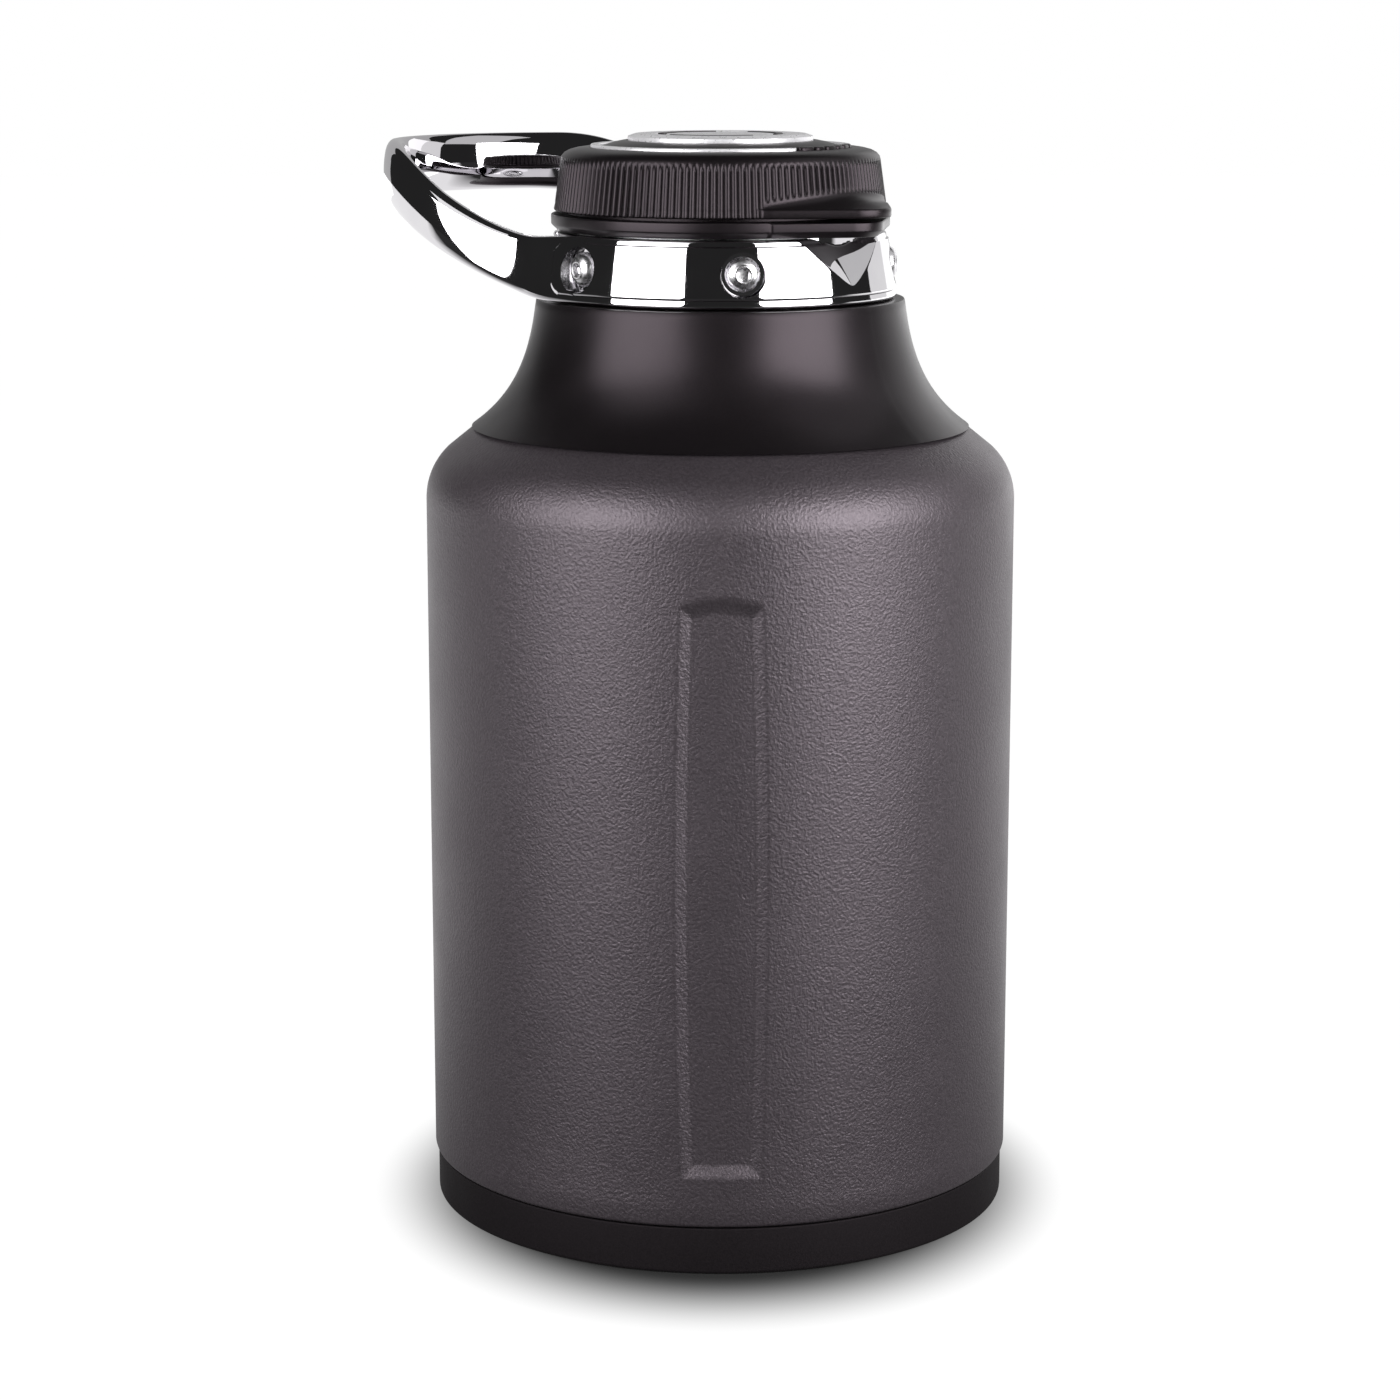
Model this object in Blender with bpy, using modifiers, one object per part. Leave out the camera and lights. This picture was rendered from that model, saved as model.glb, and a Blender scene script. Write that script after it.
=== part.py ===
"""Insulated steel growler with a screwed-on cap, a chrome collar and a carrying loop.

The bottle stands on the XY plane with its axis on Z. The loop points to -X and the
cap's tabs to +X. Turned parts are profiles of (radius, height) pairs in millimetres
that run down the outer side; everything else is in metres.
"""

import math

import bmesh
import bpy
from mathutils import Matrix, Vector

MM = 0.001
GAP = 0.3  # mm between pieces that touch

# Driving dimensions, in mm.
BODY_R = 82.0
STEEL = 0.8  # wall of the pressed steel parts
BOOT_R, BOOT_TOP, BOOT_FLOOR = 81.1, 12.9, 2.0
WAIST_R = 78.4  # steel wall inside the boot
SHOULDER_START, SHOULDER_ARC, SHOULDER_TURN = 199.9, 18.4, math.radians(47)
SEAM_R, SEAM_Z = 69.8, 219.2  # line where the shroud meets the shoulder
SHROUD_TOP, SHROUD_RIM_R = 255.1, 50.2
STEEL_NECK_R, STEEL_NECK_TOP = 40.7, 263.7
VESSEL_R, VESSEL_FLOOR, VESSEL_NECK_R = 76.6, 12.9, 36.6
MOUTH_R, LIP_Z = 40.0, 288.0
COLLAR_BOTTOM, COLLAR_TOP, COLLAR_BORE_R = 255.6, 273.5, 42.4
BAND_MID_R = 47.1
LOOP_TIP, LOOP_HALF_WIDTH = 112.0, 51.5
LOOP_ROOT_THICKNESS, LOOP_TIP_THICKNESS = 4.8, 6.8
LOOP_FLARE, LOOP_WIDEST = 28.0, 62.0  # reaches between which the loop widens
# Each edge of the loop climbs from one height to another between two reaches.
LOOP_TOP_EDGE = (272.5, 296.9, 27.0, 99.0)
LOOP_LOW_EDGE = (255.8, 280.4, 17.0, 106.0)
SCREW_Z, SCREW_SEAT_R, SCREW_ANGLES = 264.7, 45.6, (-160, -100, -40, 40, 100, 160)
BASE_RING_BOTTOM, BASE_RING_TOP, BASE_RING_R = 273.9, 278.2, 46.7
GRIP_BOTTOM, GRIP_SHOULDER, GRIP_R = 279.1, 292.9, 45.9
DOME_Z = 298.0
BADGE_R, BADGE_TOP = 25.5, 300.0
ARC_INNER, ARC_OUTER, ARC_START, ARC_END = 33.7, 35.7, 43, 346  # radii, degrees
TAB_TIP_R, GRIP_TAB_REACH, BASE_TAB_REACH = 10.2, 58.3, 55.5
TAB_THICKNESS = 2.5
PANEL_ANGLES = (-47, 133)  # degrees, the two grip panels
PANEL_LOW, PANEL_HIGH, PANEL_DEPTH, PANEL_BEVEL = 27.2, 184.2, 1.3, 3.3

BODY_SEGMENTS, VESSEL_SEGMENTS, CAP_SEGMENTS = 48, 36, 40


# ---------------------------------------------------------------- scene and helpers


def clear_scene():
    for obj in list(bpy.data.objects):
        bpy.data.objects.remove(obj)


def new_collection(name):
    collection = bpy.data.collections.new(name)
    bpy.context.scene.collection.children.link(collection)
    return collection


clear_scene()
PARTS = new_collection("growler")
CUTTERS = new_collection("cutters")
CUTTERS.hide_render = True


def paint(obj, colour, roughness, metallic=0.0):
    material = bpy.data.materials.new(obj.name)
    material.use_nodes = True
    shader = material.node_tree.nodes["Principled BSDF"]
    shader.inputs["Base Color"].default_value = (*colour, 1.0)
    shader.inputs["Roughness"].default_value = roughness
    shader.inputs["Metallic"].default_value = metallic
    material.diffuse_color = (*colour, 1.0)
    obj.data.materials.clear()
    obj.data.materials.append(material)


def powder(obj):
    paint(obj, (0.075, 0.068, 0.074), 0.5, 0.3)


def black_plastic(obj):
    paint(obj, (0.012, 0.011, 0.012), 0.4)


def rubber(obj):
    paint(obj, (0.02, 0.018, 0.018), 0.75)


def silicone(obj):
    paint(obj, (0.55, 0.56, 0.56), 0.6)


def foam(obj):
    paint(obj, (0.75, 0.74, 0.68), 0.9)


def chrome(obj):
    paint(obj, (0.8, 0.8, 0.82), 0.05, 1.0)


def stainless(obj):
    paint(obj, (0.55, 0.55, 0.56), 0.3, 1.0)


def place(name, mesh, collection=PARTS):
    obj = bpy.data.objects.new(name, mesh)
    collection.objects.link(obj)
    if collection is CUTTERS:
        obj.hide_render = True
        obj.display_type = "WIRE"
    return obj


def turned(name, outline, segments=BODY_SEGMENTS, collection=PARTS):
    """A solid of revolution. An outline that ends on the axis is left open there."""
    mesh = bpy.data.meshes.new(name)
    points = [(radius * MM, 0.0, height * MM) for radius, height in outline]
    edges = [(i, i + 1) for i in range(len(points) - 1)]
    if outline[0][0] > 0 or outline[-1][0] > 0:
        edges.append((len(points) - 1, 0))
    mesh.from_pydata(points, edges, [])
    obj = place(name, mesh, collection)
    screw = obj.modifiers.new("turn", "SCREW")
    screw.steps = screw.render_steps = segments
    screw.use_merge_vertices = True
    screw.merge_threshold = 0.00001
    return obj


def inset(profile, distance):
    """The profile moved inwards, with mitred corners. distance may vary by point."""
    amounts = distance if isinstance(distance, list) else [distance] * len(profile)
    normals = []
    for (r0, z0), (r1, z1) in zip(profile, profile[1:]):
        length = math.hypot(r1 - r0, z1 - z0)
        normals.append(Vector(((z1 - z0) / length, (r0 - r1) / length)))
    moved = []
    for i, (radius, height) in enumerate(profile):
        before = normals[max(i - 1, 0)]
        after = normals[min(i, len(normals) - 1)]
        middle = (before + after).normalized()
        shift = middle * (amounts[i] / middle.dot(before))
        moved.append((max(radius + shift.x, 0.0), height + shift.y))
    return moved


def cut(obj, cutter, operation="DIFFERENCE"):
    modifier = obj.modifiers.new(cutter.name, "BOOLEAN")
    modifier.operation = operation
    modifier.object = cutter


def cylinder(name, radius, depth, segments, low_radius=None, collection=CUTTERS):
    """A cylinder or cone along Z, centred on its own origin, sizes in mm."""
    mesh = bpy.data.meshes.new(name)
    shape = bmesh.new()
    bmesh.ops.create_cone(
        shape,
        cap_ends=True,
        segments=segments,
        radius1=(radius if low_radius is None else low_radius) * MM,
        radius2=radius * MM,
        depth=depth * MM,
    )
    shape.to_mesh(mesh)
    shape.free()
    return place(name, mesh, collection)


def loft(name, rings, collection=PARTS):
    """A closed solid through rings of equally many points, capped at both ends."""
    shape = bmesh.new()
    loops = [[shape.verts.new(point) for point in ring] for ring in rings]
    for low, high in zip(loops, loops[1:]):
        for i in range(len(low)):
            j = (i + 1) % len(low)
            shape.faces.new((low[i], low[j], high[j], high[i]))
    shape.faces.new(loops[0][::-1])
    shape.faces.new(loops[-1])
    bmesh.ops.recalc_face_normals(shape, faces=shape.faces)
    mesh = bpy.data.meshes.new(name)
    shape.to_mesh(mesh)
    shape.free()
    return place(name, mesh, collection)


def smooth(obj, degrees=35):
    obj.data.shade_smooth()
    obj.data.set_sharp_from_angle(angle=math.radians(degrees))


def radial(obj, degrees, distance, height):
    """Turns an object's +Z to point away from the axis, and moves it there."""
    angle = math.radians(degrees)
    obj.rotation_euler = (0.0, math.pi / 2, angle)
    obj.location = (
        distance * MM * math.cos(angle),
        distance * MM * math.sin(angle),
        height * MM,
    )


def spoke_holes(obj, radius, centre, depth):
    """Cuts one round radial hole at each screw."""
    for degrees in SCREW_ANGLES:
        hole = cylinder(f"{obj.name}_hole_{degrees}", radius, depth, 16)
        radial(hole, degrees, centre, SCREW_Z)
        cut(obj, hole)


# ---------------------------------------------------------------- bottle walls


def shoulder(radius, start, arc, steps=4):
    """The rounded shoulder, from where it ends in a cone down to the straight side."""
    points = []
    for i in range(steps, -1, -1):
        turn = SHOULDER_TURN * i / steps
        drop = arc * (1 - math.cos(turn))
        points.append((radius - drop, start + arc * math.sin(turn)))
    return points


# Hidden steel neck, from the mouth down to the seam: (radius, height).
STEEL_NECK = [
    (STEEL_NECK_R, STEEL_NECK_TOP),
    (STEEL_NECK_R, 254.5),
    (42.4, 247.5),
    (46.7, 239.5),
    (51.5, 233.0),
    (57.5, 226.6),
    (63.0, 222.2),
    (66.3, 220.2),
    (SEAM_R - 0.4, SEAM_Z - 0.4),
]


def panel_outline(degrees, grow, depth, rows=7):
    """The long sides of a grip panel bow out: one ring of points at a given depth."""
    low, high = PANEL_LOW + 3.1 - grow, PANEL_HIGH - 3.1 + grow
    ring = []
    heights = [low + (high - low) * i / (rows - 1) for i in range(rows)]
    for side, order in ((1, heights), (-1, heights[::-1])):
        for height in order:
            bow = 1 - ((height - (low + high) / 2) / ((high - low) / 2)) ** 2
            half = 7.6 + 1.6 * bow + grow
            ring.append(Vector((BODY_R - depth, side * half, height)) * MM)
    turn = Matrix.Rotation(math.radians(degrees), 3, "Z")
    return [turn @ point for point in ring]


def panel_cutter(name, degrees, offset):
    """The pressed-in grip panel, as the hollow left in a wall offset mm below the skin."""
    reach = 3.0  # how far the cutter stands out of the wall
    slope = PANEL_BEVEL / PANEL_DEPTH
    rings = [
        panel_outline(degrees, offset * 0.4, PANEL_DEPTH + offset),
        panel_outline(degrees, PANEL_BEVEL + offset * 0.4 + 0.2, offset - 0.1),
        panel_outline(degrees, PANEL_BEVEL + offset * 0.4 + 0.2 + slope * 0.2, -reach),
    ]
    return loft(name, rings, CUTTERS)


def make_outer_shell():
    side = [
        *STEEL_NECK,
        *shoulder(BODY_R, SHOULDER_START, SHOULDER_ARC),
        (BODY_R, 14.3),
        (BODY_R - 0.6, BOOT_TOP + GAP + 0.2),
        (WAIST_R, BOOT_TOP + GAP),
        (WAIST_R, 2.9),
    ]
    inner_side = inset(side, STEEL)
    low, high = 1.0, 270.0
    skin = turned("outer_shell", [(0, high), (STEEL_NECK_R, high), *side[1:-1], (WAIST_R, low), (0, low)])
    core_top = (inner_side[0][0], high + 5)
    core_low = (inner_side[-1][0], low - 5)
    core_outline = [(0, high + 5), core_top, *inner_side[1:-1], core_low, (0, low - 5)]
    core = turned("shell_core", core_outline, collection=CUTTERS)
    for degrees in PANEL_ANGLES:
        cut(skin, panel_cutter(f"panel_skin_{degrees}", degrees, 0.0))
        cut(core, panel_cutter(f"panel_core_{degrees}", degrees, STEEL))
    cut(skin, core)
    for name, middle, depth in (("neck_trim", STEEL_NECK_TOP + 10, 20), ("foot_trim", -7.1, 20)):
        trim = cylinder(name, 95, depth, 24)
        trim.location.z = middle * MM
        cut(skin, trim)
    powder(skin)


def make_inner_vessel():
    profile = [
        (MOUTH_R, LIP_Z + STEEL),
        (MOUTH_R, LIP_Z),
        (VESSEL_NECK_R, LIP_Z),
        (VESSEL_NECK_R, 256.0),
        (38.2, 248.0),
        (41.8, 240.0),
        (46.8, 232.5),
        (53.0, 226.0),
        (60.5, 219.6),
        (66.5, 215.2),
        *shoulder(VESSEL_R, SHOULDER_START - 2.5, SHOULDER_ARC - 5.0, 3)[1:],
        (VESSEL_R, 24.0),
        (73.5, 17.0),
        (66.0, VESSEL_FLOOR),
        (0, VESSEL_FLOOR),
    ]
    bore = inset(profile[2:], STEEL)[::-1]
    bore[-1] = (VESSEL_NECK_R - STEEL, LIP_Z + STEEL)
    stainless(turned("inner_vessel", bore + profile, VESSEL_SEGMENTS))


def make_base_pan():
    rim = WAIST_R - STEEL - GAP
    profile = [(0, 9.2), (40.0, 9.2), (rim - 1.5, 9.2), (rim, 7.9), (rim, 2.9)]
    outline = profile + inset(profile, STEEL)[::-1]
    pan = turned("outer_base_pan", outline, VESSEL_SEGMENTS)
    port = cylinder("evacuation_port", 1.6, 6, 12)
    port.location.z = 8.8 * MM
    cut(pan, port)
    stainless(pan)


def make_seal_cap():
    top = 9.2 - STEEL - GAP
    stainless(turned("vacuum_seal_cap", [(0, top), (7.0, top), (7.0, top - 0.6), (6.0, top - 1.2), (0, top - 1.2)], 24))


def make_base_boot():
    wall_r = WAIST_R + GAP
    outline = [
        (0, BOOT_FLOOR),
        (wall_r, BOOT_FLOOR),
        (wall_r, BOOT_TOP),
        (BOOT_R - 0.5, BOOT_TOP),
        (BOOT_R, BOOT_TOP - 0.5),
        (BOOT_R, 1.3),
        (BOOT_R - 0.4, 0.4),
        (BOOT_R - 1.3, 0.0),
        (0, 0.0),
    ]
    rubber(turned("base_boot", outline))


# ---------------------------------------------------------------- neck


def flare(height):
    """Radius of the shroud's outer face: it falls off exponentially up the neck."""
    return 49.4 + (SEAM_R + 0.2 - 49.4) * math.exp(-(height - SEAM_Z) / 14.1)


def make_neck_shroud():
    heights = [252.6, 247, 241, 236, 231.5, 227.5, 224.3, 221.8, SEAM_Z + 0.6]
    outer = [(flare(z), z) for z in heights]
    thickness = [min(2.2, 0.45 + 0.2 * (z - SEAM_Z)) for z in heights]
    inner = inset(outer, thickness)
    outline = [
        *inner[::-1],
        (STEEL_NECK_R + GAP + 1.0, SHROUD_TOP - 2.0),
        (STEEL_NECK_R + GAP + 1.0, SHROUD_TOP),
        (SHROUD_RIM_R - 0.9, SHROUD_TOP),
        (SHROUD_RIM_R + 0.3, SHROUD_TOP - 0.6),
        *outer,
    ]
    black_plastic(turned("neck_shroud", outline))


def ring(name, inner, outer, low, high, segments=CAP_SEGMENTS):
    return turned(name, [(inner, low), (inner, high), (outer, high), (outer, low)], segments)


def make_neck_rings():
    rubber(ring("shroud_spacer", 50.9, 52.4, 235.0, 237.0))
    mouth = turned(
        "neck_ring",
        [
            (VESSEL_NECK_R + GAP, STEEL_NECK_TOP + GAP),
            (VESSEL_NECK_R + GAP, LIP_Z - GAP),
            (MOUTH_R - 0.4, LIP_Z - GAP),
            (MOUTH_R, LIP_Z - GAP - 0.4),
            (MOUTH_R, 273.0),
            (STEEL_NECK_R, 272.0),
            (STEEL_NECK_R, STEEL_NECK_TOP + GAP),
        ],
        CAP_SEGMENTS,
    )
    stainless(mouth)
    liner = ring("collar_liner", STEEL_NECK_R + GAP, COLLAR_BORE_R - GAP, COLLAR_BOTTOM, COLLAR_TOP - 0.3)
    spoke_holes(liner, 2.9, 41.5, 6.0)
    black_plastic(liner)


# ---------------------------------------------------------------- chrome casting


def smoothstep(t):
    t = min(max(t, 0.0), 1.0)
    return t * t * (3 - 2 * t)


def climb(edge, reach):
    """Height of one edge of the loop at a distance behind the bottle's axis."""
    low, high, start, end = edge
    return low + (high - low) * smoothstep((reach - start) / (end - start))


def loop_station(place_x, place_y, normal):
    """One section of the carrying loop, facing along normal: flat at the collar, oval at the tip."""
    top, bottom = climb(LOOP_TOP_EDGE, -place_x), climb(LOOP_LOW_EDGE, -place_x)
    lean = 0.17 * (1 - smoothstep((-place_x - 28) / 60))
    away = smoothstep((-place_x - 20) / 50)
    thick = LOOP_ROOT_THICKNESS + (LOOP_TIP_THICKNESS - LOOP_ROOT_THICKNESS) * away
    corner, bulge = 1.5 + 0.7 * away, 0.9 * away
    outline = [
        (-corner - bulge, bottom),
        (-bulge, bottom + corner),
        (0, (top + bottom) / 2),
        (-bulge, top - corner),
        (-corner - bulge, top),
        (corner + bulge - thick, top),
        (bulge - thick, top - corner),
        (-thick, (top + bottom) / 2),
        (bulge - thick, bottom + corner),
        (corner + bulge - thick, bottom),
    ]
    middle = (top + bottom) / 2
    points = []
    for out, height in outline:
        spot = Vector((place_x, place_y)) + normal * (out - lean * (height - middle))
        points.append(Vector((spot.x, spot.y, height)) * MM)
    return points


def make_loop():
    """The strap: it widens as it leaves the collar, rounds an elliptic tip and comes back."""
    inside, straight, bends = 4.0, 8, 16
    long_half = LOOP_TIP - LOOP_WIDEST
    side = []
    for i in range(straight):
        reach = (LOOP_WIDEST + inside) * i / straight - inside
        widening = smoothstep((reach - LOOP_FLARE) / (LOOP_WIDEST - LOOP_FLARE))
        width = BAND_MID_R + (LOOP_HALF_WIDTH - BAND_MID_R) * widening
        side.append((-reach, width, Vector((0, 1))))
    for i in range(bends // 2 + 1):
        angle = math.pi / 2 + math.pi * i / bends
        across, back = LOOP_HALF_WIDTH * math.sin(angle), long_half * math.cos(angle)
        normal = Vector((math.cos(angle) / long_half, math.sin(angle) / LOOP_HALF_WIDTH))
        side.append((back - LOOP_WIDEST, across, normal.normalized()))
    rings = [loop_station(x, y, normal) for x, y, normal in side]
    other = [loop_station(x, -y, Vector((normal.x, -normal.y))) for x, y, normal in side[:-1]]
    return loft("carrying_loop", rings + other[::-1], CUTTERS)


def make_collar_handle():
    band = turned(
        "collar_handle",
        [
            (COLLAR_BORE_R - 2, COLLAR_BOTTOM),
            (COLLAR_BORE_R - 2, COLLAR_TOP),
            (44.9, COLLAR_TOP),
            (45.9, 272.2),
            (46.2, 267.5),
            (47.7, 260.2),
            (48.4, 257.8),
            (49.1, 256.3),
            (48.6, COLLAR_BOTTOM),
        ],
    )
    cut(band, make_loop(), "UNION")
    bore = cylinder("collar_bore", COLLAR_BORE_R, 40, BODY_SEGMENTS)
    bore.location.z = 264 * MM
    cut(band, bore)
    scoop = cylinder("finger_scoop", 30, 12.5, 48, low_radius=12)
    scoop.location = (50.3 * MM, 0, 268.25 * MM)
    scoop.scale.x = 0.25
    cut(band, scoop)
    for degrees in SCREW_ANGLES:
        seat = cylinder(f"screw_seat_{degrees}", 5.85, 8, 20)
        radial(seat, degrees, SCREW_SEAT_R + 4, SCREW_Z)
        cut(band, seat)
    spoke_holes(band, 2.9, 44.0, 8.0)
    chrome(band)


def make_screws():
    """Button heads with a hexagon socket, one mesh shared by all six."""
    head, shank, grip, dome = 4.7, 2.5, 4.2, 2.9
    profile = [(0, dome), (2.6, dome), (3.7, dome - 0.5), (4.5, dome - 1.5), (head, dome - 2.3)]
    profile += [(head, 0), (shank, 0), (shank, -grip), (0, -grip)]
    blank = turned("screw_blank", profile, 16, CUTTERS)
    socket = cylinder("screw_socket", 1.7, 3.0, 6)
    socket.location.z = (dome + 0.1) * MM
    cut(blank, socket)
    bpy.context.view_layer.update()
    graph = bpy.context.evaluated_depsgraph_get()
    mesh = bpy.data.meshes.new_from_object(blank.evaluated_get(graph))
    for number, degrees in enumerate(SCREW_ANGLES, 1):
        screw = place(f"collar_screw_{number}", mesh)
        radial(screw, degrees, SCREW_SEAT_R + GAP, SCREW_Z)
    paint(screw, (0.78, 0.78, 0.8), 0.12, 1.0)
    smooth(screw)


# ---------------------------------------------------------------- cap


def tab_outline(ring_r, reach, height):
    """A round tip joined to the ring by its tangents, as points at one height."""
    centre = reach - TAB_TIP_R
    lean = math.acos((ring_r - TAB_TIP_R) / centre)
    tangent = Vector((math.cos(lean), math.sin(lean))) * (ring_r - 0.5)
    outline = [Vector((tangent.x, -tangent.y, height))]
    steps = 12
    for i in range(steps + 1):
        angle = lean * (2 * i / steps - 1)
        out = Vector((centre + TAB_TIP_R * math.cos(angle), TAB_TIP_R * math.sin(angle), height))
        outline.append(out)
    outline.append(Vector((tangent.x, tangent.y, height)))
    return [point * MM for point in outline]


def add_tab(ring_obj, ring_r, reach, low, high, low_shrink):
    """Joins a tab to a cap ring, on its +X side, with the underside drawn in a little."""
    heights = ((low, low_shrink), (low + low_shrink, 0.0), (high, 0.0))
    rings = [tab_outline(ring_r, reach - shrink, z) for z, shrink in heights]
    tab = loft(f"{ring_obj.name}_tab", rings, CUTTERS)
    hollow = cylinder(f"{ring_obj.name}_tab_hollow", 43.6, 20, CAP_SEGMENTS)
    hollow.location.z = (low + high) / 2 * MM
    cut(tab, hollow)
    cut(ring_obj, tab, "UNION")


def make_base_ring():
    base = turned(
        "base_ring",
        [
            (STEEL_NECK_R + 0.4, BASE_RING_BOTTOM),
            (STEEL_NECK_R + 0.4, BASE_RING_TOP),
            (BASE_RING_R - 0.5, BASE_RING_TOP),
            (BASE_RING_R, BASE_RING_TOP - 0.5),
            (BASE_RING_R, BASE_RING_BOTTOM + 1.8),
            (BASE_RING_R - 1.9, BASE_RING_BOTTOM),
        ],
        CAP_SEGMENTS,
    )
    add_tab(base, BASE_RING_R, BASE_TAB_REACH, BASE_RING_BOTTOM + 0.6, BASE_RING_TOP - 0.1, 1.6)
    black_plastic(base)


def make_stopper():
    plug_r, flange_r, flange_low, flange_high = 35.3, 41.0, 291.2, 292.5
    plug_floor, cup_r, cup_floor = 266.0, 33.0, 268.0
    body = [
        (0, cup_floor),
        (cup_r, cup_floor),
        (cup_r, flange_high),
        (flange_r, flange_high),
        (flange_r, flange_low),
        (plug_r, flange_low),
        (plug_r, plug_floor + 2.5),
        (plug_r - 2.0, plug_floor),
        (0, plug_floor),
    ]
    black_plastic(turned("stopper_body", body, CAP_SEGMENTS))
    puck_r, puck_low, puck_high = cup_r - GAP, cup_floor + GAP, 289.0
    puck = [(0, puck_high), (puck_r, puck_high), (puck_r, puck_low), (0, puck_low)]
    foam(turned("insulation_puck", puck, 32))
    cover_low, cover_high = puck_high + GAP, 291.3
    cover = [(0, cover_high), (puck_r, cover_high), (puck_r, cover_low), (0, cover_low)]
    black_plastic(turned("stopper_cover", cover, 32))
    gasket_low, gasket_high = LIP_Z + STEEL + GAP, flange_low - GAP
    middle = (gasket_low + gasket_high) / 2
    gasket = [
        (36.0, middle),
        (36.5, gasket_high),
        (39.3, gasket_high),
        (39.8, middle),
        (39.3, gasket_low),
        (36.5, gasket_low),
    ]
    silicone(turned("lip_gasket", gasket, 32))
    return flange_low


def make_grip_ring():
    grip = turned(
        "grip_ring",
        [
            (0, 295.0),
            (36.0, 294.2),
            (40.0, 293.3),
            (42.5, 292.8),
            (42.5, GRIP_BOTTOM),
            (GRIP_R - 0.4, GRIP_BOTTOM),
            (GRIP_R, GRIP_BOTTOM + 0.5),
            (43.9, GRIP_SHOULDER),
            (42.6, 294.4),
            (40.0, 295.5),
            (36.4, 296.2),
            (32.8, 296.2),
            (31.0, 297.0),
            (26.5, DOME_Z),
            (0, DOME_Z),
        ][::-1],
        CAP_SEGMENTS,
    )
    add_tab(grip, GRIP_R, GRIP_TAB_REACH, GRIP_BOTTOM + 0.1, GRIP_BOTTOM + TAB_THICKNESS, 0.3)
    black_plastic(grip)


def make_cap_inserts(flange_low):
    sleeve_top = 289.3
    black_plastic(ring("thread_sleeve", MOUTH_R + 0.4, 42.5 - GAP, GRIP_BOTTOM + 0.4, sleeve_top))
    clip_low = sleeve_top + GAP
    clip = ring("stopper_clip", 40.3, 42.5 - GAP, clip_low, flange_low - GAP)
    stainless(clip)


def make_arc_inlay():
    """The C-shaped trim: an outline of two arcs with rounded ends."""
    curve = bpy.data.curves.new("arc_inlay", "CURVE")
    curve.dimensions = "2D"
    curve.fill_mode = "BOTH"
    curve.extrude = 0.6 * MM
    start, end = math.radians(ARC_START), math.radians(ARC_END)
    steps = 34
    angles = [start + (end - start) * i / steps for i in range(steps + 1)]
    middle, half = (ARC_INNER + ARC_OUTER) / 2, (ARC_OUTER - ARC_INNER) / 2
    outline = [(ARC_OUTER, angle) for angle in angles]
    outline.append((middle, end + half / middle))
    outline += [(ARC_INNER, angle) for angle in angles[::-1]]
    outline.append((middle, start - half / middle))
    spline = curve.splines.new("POLY")
    spline.points.add(len(outline) - 1)
    spline.use_cyclic_u = True
    for point, (radius, angle) in zip(spline.points, outline):
        point.co = (radius * MM * math.cos(angle), radius * MM * math.sin(angle), 0, 1)
    inlay = place("arc_inlay", curve)
    inlay.location.z = 297.1 * MM
    paint(inlay, (0.75, 0.74, 0.76), 0.2, 1.0)


def make_badge():
    groove_in, groove_out, groove_floor = 16.2, 17.4, BADGE_TOP - 0.7
    low = DOME_Z + GAP
    outline = [
        (0, BADGE_TOP),
        (groove_in, BADGE_TOP),
        (groove_in, groove_floor),
        (groove_out, groove_floor),
        (groove_out, BADGE_TOP),
        (BADGE_R - 0.6, BADGE_TOP),
        (BADGE_R, BADGE_TOP - 0.5),
        (BADGE_R, low),
        (0, low),
    ]
    badge = turned("centre_badge", outline, 40)
    paint(badge, (0.75, 0.74, 0.76), 0.2, 1.0)


make_outer_shell()
make_inner_vessel()
make_base_pan()
make_seal_cap()
make_base_boot()
make_neck_shroud()
make_neck_rings()
make_collar_handle()
make_screws()
make_base_ring()
make_cap_inserts(make_stopper())
make_grip_ring()
make_arc_inlay()
make_badge()
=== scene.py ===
"""Looks of the insulated growler: fine meshes, materials, floor, lights and camera.

Lengths in the profiles are millimetres, as (radius, height) pairs in the CAD's frame:
the axis is Z, the carrying loop points to -X and the cap's tabs to +X.
"""

import math

import bmesh
import bpy
import numpy as np
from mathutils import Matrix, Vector


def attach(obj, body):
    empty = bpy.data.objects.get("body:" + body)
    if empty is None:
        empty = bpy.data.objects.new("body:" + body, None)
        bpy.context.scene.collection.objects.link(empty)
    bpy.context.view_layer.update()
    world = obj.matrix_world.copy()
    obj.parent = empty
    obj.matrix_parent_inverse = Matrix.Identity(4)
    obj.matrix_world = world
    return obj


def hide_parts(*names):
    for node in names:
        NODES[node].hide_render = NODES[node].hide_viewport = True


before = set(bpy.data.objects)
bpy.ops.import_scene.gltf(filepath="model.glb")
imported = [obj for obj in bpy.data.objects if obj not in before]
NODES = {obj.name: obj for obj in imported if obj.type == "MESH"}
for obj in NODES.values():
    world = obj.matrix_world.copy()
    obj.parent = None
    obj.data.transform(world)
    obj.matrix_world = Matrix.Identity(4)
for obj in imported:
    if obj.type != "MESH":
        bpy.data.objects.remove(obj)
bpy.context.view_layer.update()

MM = 0.001
CAMERA_SIDE = -47.3  # degrees from +X of the side that the camera looks at

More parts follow.
